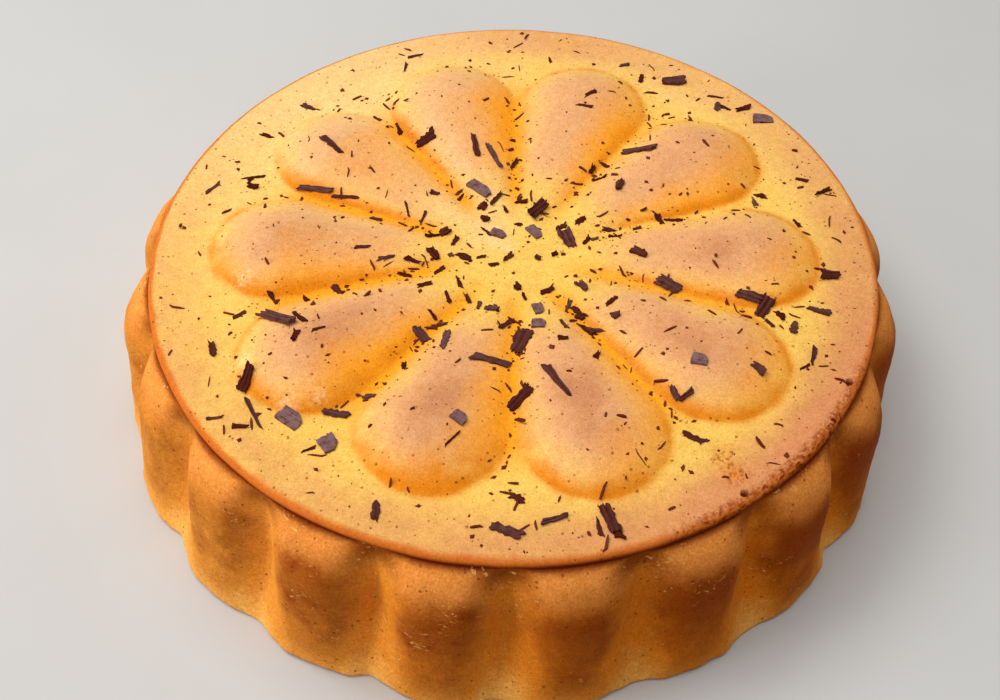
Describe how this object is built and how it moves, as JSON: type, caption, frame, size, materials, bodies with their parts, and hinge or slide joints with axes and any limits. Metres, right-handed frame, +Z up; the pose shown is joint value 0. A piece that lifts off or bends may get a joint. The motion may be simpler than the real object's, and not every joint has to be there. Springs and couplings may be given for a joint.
{
  "type": "savoy sponge cake",
  "caption": "Round fluted sponge cake turned out of a flower mould, with a flat rim, a crown of raised petals on top and dark chocolate shavings strewn over it.",
  "frame": {"origin": "centre of the base, on the surface that the cake stands on", "axes": "+Z up through the crown; the picture's camera looks along +Y, with +X to its right"},
  "size_m": [0.2392, 0.2398, 0.061],
  "materials": {
    "sponge": "matt golden baked sponge skin, browned on the crowns of the petals and on the flutes",
    "chocolate": "dark chocolate with a dull sheen"
  },
  "bodies": {
    "root": {"sponge_cake": "sponge"}
  },
  "joints": []
}
